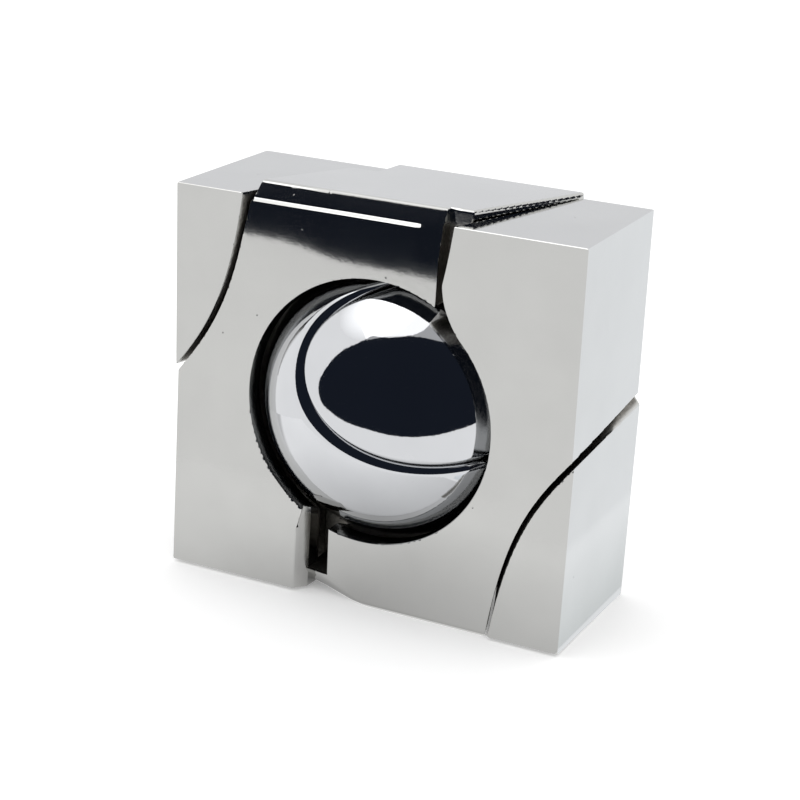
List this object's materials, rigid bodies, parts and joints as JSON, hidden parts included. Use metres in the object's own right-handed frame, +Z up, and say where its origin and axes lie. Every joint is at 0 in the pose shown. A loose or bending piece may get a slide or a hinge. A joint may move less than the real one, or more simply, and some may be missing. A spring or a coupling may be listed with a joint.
{
  "type": "take-apart metal puzzle",
  "caption": "Square metal block split by a twisted surface into two halves that hold a split ball captive behind round windows; a hand-held take-apart puzzle.",
  "frame": {"origin": "on the table, under the middle of the block's overall box", "axes": "+X to the right along the block's width, +Y to the back through the thickness and the windows, +Z up"},
  "size_m": [0.0452, 0.03, 0.0431],
  "materials": {
    "frame_lower": "polished nickel",
    "frame_upper": "polished nickel",
    "ball": "mirror polished"
  },
  "bodies": {
    "lower_block": {"lower_half": "frame_lower"},
    "upper_block": {"upper_half": "frame_upper"},
    "ball": {"ball_half_one": "ball", "ball_half_two": "ball"}
  },
  "joints": [
    {"name": "ball_turn", "type": "hinge", "parent": "lower_block", "child": "ball", "pos_m": [0, 0, 0.02116], "axis": [-0.2508, 0.641, 0.7255], "continuous": true},
    {"name": "half_slack", "type": "hinge", "parent": "lower_block", "child": "upper_block", "pos_m": [0, 0, 0.02116], "axis": [1, 0, 0], "range_deg": [-1.2, 1.2]}
  ]
}
